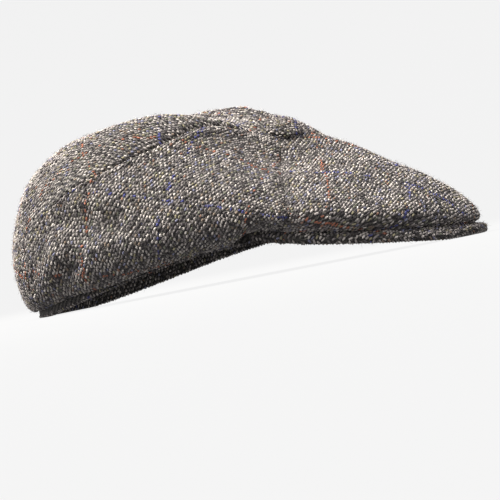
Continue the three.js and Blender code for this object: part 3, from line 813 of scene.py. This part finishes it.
def peak_cut(face):
    """Flat cut of a cover: its own plan, each point set out from the headband by its distance along the
    cloth."""
    run = steps(face, 0).cumsum(0)
    plan = face[..., 1::-1]
    out = unit(plan[-1] - plan[0])
    return plan[:1] + np.concatenate([np.zeros_like(run[:1]), run])[..., None] * out


PEAK_SHARE = np.concatenate([np.linspace(0, 0.9, 30, endpoint=False),
                             0.9 + 0.1 * np.sin(np.linspace(0, np.pi / 2, 12))])
share, angle = np.meshgrid(PEAK_SHARE, np.linspace(-PEAK_END, PEAK_END, 130), indexing="ij")
# Painted shade: the peak top's ground is the crown's tweed made a touch darker.
peak_ground_painted_shade = tweed_ground("peak_tweed_ground_painted_shade", ("#827d76", "#55514d"), ("#252323", "#3e3a38"), 0.0004)
# Painted shade: the ground of the peak's underside and of the headband is the same tweed made darker still.
under_ground_painted_shade = tweed_ground("under_tweed_ground_painted_shade", ("#6a655f", "#474340"), ("#1f1d1d", "#322f2d"), 0.0004)


def peak_cover(name, face, inside, material, seed, hairs, rows_kept, tone_and_painted_shade):
    """Cover of one side of the peak, its wool and its flat cut."""
    wrap = over_edge(face, inside)
    cut = peak_cut(wrap)
    threads = turned(cut, PEAK_GRAIN)
    cover = cloth_panel(f"{name}_cover", face, inside, threads[:len(PEAK_SHARE)], material)
    return cover, woven_wool(f"{name}_wool", wrap, threads, seed, hairs, rows_kept, tone_and_painted_shade), cut


peak_top, top_wool, top_cut = peak_cover(
    "peak_top", peak_face(angle, share, PEAK_THICK, -PEAK_ROUND),
    peak_face(angle, share, PEAK_CLOTH + SEAM_GAP, 0), peak_ground_painted_shade, 41, 700, (0.55, 0.995), 1.0)
# Painted shade: the underside takes the darker ground, and its floats are darkened to 0.72.
peak_under, under_wool, under_cut = peak_cover(
    "peak_under", peak_face(angle, share, 0, PEAK_ROUND)[:, ::-1],
    peak_face(angle, share, PEAK_CLOTH, 0)[:, ::-1], under_ground_painted_shade, 42, 500, (0.01, 0.995), 0.72)

# Stitches of the underside: short stout threads laid end to end on a line parallel to the peak's edge.
line_angle = np.linspace(-PEAK_END + STITCH_STOP, PEAK_END - STITCH_STOP, 1200)
line_share = 1 - STITCH_IN / through(PEAK, "angle", "reach", from_peak(line_angle))
line = peak_face(line_angle, line_share, 0, 0)
length = np.concatenate([[0], steps(line, 0).cumsum()])
centre = np.arange(STITCH_PITCH, length[-1] - STITCH_PITCH, STITCH_PITCH)


def on_line(at):
    """Points of the stitched line at distances along it."""
    return np.stack([np.interp(at, length, line[:, axis]) for axis in range(3)], 1)


reach = np.array([-0.5, -0.3, 0.3, 0.5]) * STITCH_LONG
drop = np.array([0.1, -0.2, -0.2, 0.1])
path = np.stack([on_line(centre + step) + (0, 0, fall) for step, fall in zip(reach, drop)], 1)
heading = unit(path[:, -1] - path[:, 0])
upward = np.broadcast_to(np.array([0, 0, 1.0]), heading.shape)
stitch_side = unit(np.cross(upward, heading))
stout = np.full(len(centre), STITCH_HALF)
stitch = strands(path, stitch_side, np.cross(heading, stitch_side), stout, stout, 6)
stitches = join_strands("peak_stitches", [stitch], [np.tile(linear("#37332f"), (len(centre), 1))])

for piece in (peak_top, top_wool):
    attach(piece, "root")
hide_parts("peak_top")
for piece in (peak_under, under_wool, stitches):
    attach(piece, "root")
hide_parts("peak_under")


# Headband: a strip of tweed turned up inside the head opening, joined in a ring behind.
# The crown's hem is sewn to it; its rounded lower edge shows as a thin line under the crown at the back.
BAND_THICK, BAND_HEIGHT, BAND_ROUND = 2.5, 26.0, 0.9
BAND_STEPS = 240


def band_point(angle, run):
    """Strip round the head opening. run goes down the outer side, round the lower edge and up the inner
    side; its margin and rise follow that path, the corners rounded by a small radius."""
    side = BAND_HEIGHT - BAND_ROUND
    under = BAND_THICK - 2 * BAND_ROUND
    arc = np.pi / 2 * BAND_ROUND
    at = run * (2 * side + 2 * arc + under)
    first = np.clip((at - side) / arc, 0, 1) * np.pi / 2
    second = np.clip((at - side - arc - under) / arc, 0, 1) * np.pi / 2
    rise = BAND_HEIGHT - np.clip(at, 0, side) - BAND_ROUND * np.sin(first)
    rise = rise + BAND_ROUND * (1 - np.cos(second)) + np.clip(at - side - 2 * arc - under, 0, side)
    margin = -BAND_ROUND * (1 - np.cos(first)) - np.clip(at - side - arc, 0, under)
    margin = margin - BAND_ROUND * np.sin(second)
    return spot_at(angle, rim_radius(angle, margin), rim_height(angle) + rise)


run = np.concatenate([np.linspace(0, 0.42, 14, endpoint=False), np.linspace(0.42, 0.58, 26, endpoint=False),
                      np.linspace(0.58, 1, 16)])
run, angle = np.meshgrid(run, np.linspace(180, 540, BAND_STEPS + 1), indexing="ij")
strip = band_point(angle, run)
band_length = steps(strip, 1).sum(1).mean()
band_down = steps(strip, 0).mean(1).cumsum()
band_cut = np.stack(np.broadcast_arrays(np.linspace(0, band_length, BAND_STEPS + 1)[None],
                                        np.concatenate([[0], band_down])[:, None]), -1)
band_threads = turned(band_cut, 0)
band_rows = strip.shape[0]
number = np.arange(band_rows * BAND_STEPS).reshape(band_rows, BAND_STEPS)
ring = np.concatenate([number, number[:, :1]], 1)
rows_closed = np.concatenate([ring, ring[:1]])
cut_closed = np.concatenate([band_threads, band_threads[-1:] + (0, BAND_THICK / THREAD)])
cut_corner = quads(cut_closed, -2).reshape(-1, 2)
spread = cut_closed.reshape(-1, 2).max(0)
band_maps = {"Cloth": cut_corner, "OFBake": cut_corner / spread * 0.98 + 0.01}
# Painted shade: the strip takes the darker ground of the peak's underside.
band = new_piece("headband_strip", strip[:, :-1].reshape(-1, 3), quads(rows_closed).reshape(-1, 4),
                 under_ground_painted_shade, band_maps, crease=60)
# Painted shade: the headband's floats are darkened to 0.8.
band_wool = woven_wool("headband_wool", strip, band_threads, 51, 900, rows_kept=(0.36, 0.99), tone_and_painted_shade=0.8,
                       edges=False)
for piece in (band, band_wool):
    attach(piece, "root")
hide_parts("headband")


# Studio: a pale floor that sweeps up behind, a wide soft light overhead and a weak one from the left.
# The floor glows a little of its own, so that it stays pale, and throws no light back up.
SWEEP_FROM, SWEEP_RADIUS, SWEEP_TOP, SWEEP_HALF = 2400.0, 1200.0, 3200.0, 6000.0
arc = np.linspace(0, np.pi / 2, 24)
ahead = np.concatenate([[-SWEEP_HALF], SWEEP_FROM + SWEEP_RADIUS * np.sin(arc), [SWEEP_FROM + SWEEP_RADIUS]])
rise = np.concatenate([[0.0], SWEEP_RADIUS * (1 - np.cos(arc)), [SWEEP_TOP]])
sweep_points = np.stack(np.broadcast_arrays(np.array([-SWEEP_HALF, SWEEP_HALF])[None], ahead[:, None],
                                            rise[:, None]), -1)
number = np.arange(len(ahead) * 2).reshape(-1, 2)
sweep_faces = np.stack([number[:-1, 0], number[:-1, 1], number[1:, 1], number[1:, 0]], -1)
paper, tree, surface = new_material("matt_backdrop_paper")
place = add_node(tree, "ShaderNodeTexCoord")
paper_grain = add_node(tree, "ShaderNodeTexNoise", {
    "Vector": place.outputs["Object"], "Scale": 3.0, "Detail": 2.0})
paper_tone = add_node(tree, "ShaderNodeMix", {"Factor": paper_grain.outputs["Fac"]}, data_type="RGBA")
paper_tone.inputs[6].default_value = (*linear("#333333"), 1)
paper_tone.inputs[7].default_value = (*linear("#363636"), 1)
shader = add_node(tree, "ShaderNodeBsdfPrincipled", {
    "Base Color": paper_tone.outputs[2], "Roughness": 0.9, "Specular IOR Level": 0.0,
    "Emission Color": (1, 1, 1, 1), "Emission Strength": 0.86})
tree.links.new(shader.outputs["BSDF"], surface.inputs["Surface"])
floor = new_piece("backdrop", sweep_points.reshape(-1, 3), sweep_faces, paper, {})
floor.visible_diffuse = False

world = bpy.data.worlds.new("studio")
world.use_nodes = True
tree = world.node_tree
sky = tree.nodes["Background"]
direction = add_node(tree, "ShaderNodeTexCoord")
height = add_node(tree, "ShaderNodeSeparateXYZ", {0: direction.outputs["Generated"]})
glow = add_node(tree, "ShaderNodeMapRange", {"Value": height.outputs["Z"], "From Min": -0.3, "From Max": 0.7,
                                             "To Min": 0.26, "To Max": 0.8}, interpolation_type="SMOOTHSTEP")
sky.inputs["Color"].default_value = (*linear("#fcfcff"), 1)
tree.links.new(glow.outputs["Result"], sky.inputs["Strength"])
bpy.context.scene.world = world


def stand_at(right, back, place):
    """Placing of a light or camera from its right and backward directions and its place in metres."""
    turn = np.eye(4)
    turn[:3] = np.stack([right, np.cross(back, right), back, place], 1)
    return Matrix(turn.tolist())


LIGHT_AIM = np.array([0, 0, 0.05])


def soft_light(name, place, colour, size, power):
    """Square area light at a place in metres, turned to look at the middle of the cap."""
    lamp = bpy.data.lights.new(name, "AREA")
    lamp.size, lamp.energy, lamp.color = size, power, linear(colour)
    light = bpy.data.objects.new(name, lamp)
    back = unit(np.array(place) - LIGHT_AIM)
    right = unit(np.cross((0.01, 1.0, 0.0), back))
    light.matrix_world = stand_at(right, back, place)
    bpy.context.scene.collection.objects.link(light)


soft_light("overhead_softbox", (-0.7, -0.2, 1.4), "#fffcf6", 1.1, 66.0)
soft_light("left_softbox", (-1.4, -1.1, 0.6), "#ffffff", 1.0, 8.0)


# Camera: level with the cap from its right, a little round to the front, tilted the way the cap is worn.
AZIMUTH, ELEVATION, ROLL = np.radians([14.0, -1.2, -11.0])
DISTANCE, SCALE = 1.6, 1730.0  # metres; pixels a metre at the cap
SENSOR, FRAME = 36.0, 500
TARGET, TARGET_PIXEL = np.array([0, 0, 0.045]), (240.5, 200.0)
back = np.array([np.sin(AZIMUTH) * np.cos(ELEVATION), -np.cos(AZIMUTH) * np.cos(ELEVATION),
                 np.sin(ELEVATION)])
right = np.array([np.cos(AZIMUTH), np.sin(AZIMUTH), 0])
up = np.cross(back, right)
right, up = right * np.cos(ROLL) + up * np.sin(ROLL), up * np.cos(ROLL) - right * np.sin(ROLL)
eye = TARGET + back * DISTANCE
aim = TARGET + right * (FRAME / 2 - TARGET_PIXEL[0]) / SCALE - up * (FRAME / 2 - TARGET_PIXEL[1]) / SCALE
back = unit(eye - aim)
right = unit(right - back * (right @ back))
lens = bpy.data.cameras.new("camera")
lens.sensor_width = SENSOR
lens.lens = SENSOR * DISTANCE * SCALE / FRAME
camera = bpy.data.objects.new("camera", lens)
camera.matrix_world = stand_at(right, back, eye)
bpy.context.scene.collection.objects.link(camera)
bpy.context.scene.camera = camera
bpy.context.scene.view_settings.view_transform = "Standard"
